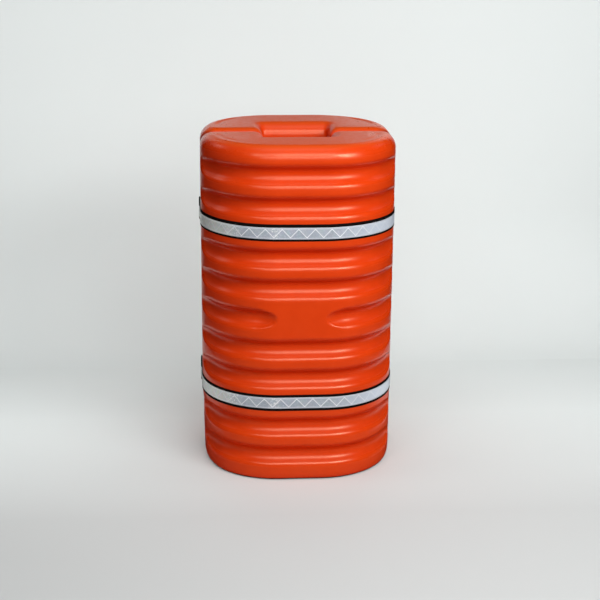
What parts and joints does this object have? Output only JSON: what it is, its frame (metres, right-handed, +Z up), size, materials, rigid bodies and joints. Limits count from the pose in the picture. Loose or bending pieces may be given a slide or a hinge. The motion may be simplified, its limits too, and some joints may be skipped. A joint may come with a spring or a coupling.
{
  "type": "column protector",
  "caption": "Ribbed plastic guard in two hollow halves that close round a square column, held by webbing straps with reflective tape and hook-and-loop tails.",
  "frame": {"origin": "on the floor, at the centre of the column opening", "axes": "+Z up along the column, front half towards -Y, strap closures at -X, halves hinge at +X"},
  "size_m": [0.6171, 0.6138, 1.0668],
  "materials": {
    "shell": "moulded satin polyethylene",
    "webbing": "black woven webbing",
    "reflective_tape": "silver prismatic sheeting",
    "loop_pile": "brushed loop pile",
    "hook_strip": "moulded hooks",
    "thread": "bonded nylon thread"
  },
  "bodies": {
    "front_half": {"front_shell": "shell", "upper_front_strap": "webbing", "upper_front_tape": "reflective_tape", "lower_front_strap": "webbing", "lower_front_tape": "reflective_tape"},
    "rear_half": {"rear_shell": "shell", "upper_rear_strap": "webbing", "upper_rear_tape": "reflective_tape", "upper_loop_patch": "loop_pile", "upper_loop_stitching": "thread", "lower_rear_strap": "webbing", "lower_rear_tape": "reflective_tape", "lower_loop_patch": "loop_pile", "lower_loop_stitching": "thread"},
    "upper_tail": {"upper_tail": "webbing", "upper_tail_tape": "reflective_tape", "upper_hook_patch": "hook_strip", "upper_hook_stitching": "thread"},
    "lower_tail": {"lower_tail": "webbing", "lower_tail_tape": "reflective_tape", "lower_hook_patch": "hook_strip", "lower_hook_stitching": "thread"}
  },
  "joints": [
    {"name": "rear_swing", "type": "hinge", "parent": "front_half", "child": "rear_half", "pos_m": [0.307, 0, 0.5334], "axis": [0, 0, -1], "range_deg": [0, 110]},
    {"name": "upper_tail_peel", "type": "hinge", "parent": "front_half", "child": "upper_tail", "pos_m": [-0.30655, -0.01175, 0.8055], "axis": [0, 0, 1], "range_deg": [0, 150]},
    {"name": "lower_tail_peel", "type": "hinge", "parent": "front_half", "child": "lower_tail", "pos_m": [-0.30655, -0.01175, 0.2613], "axis": [0, 0, 1], "range_deg": [0, 150]}
  ]
}
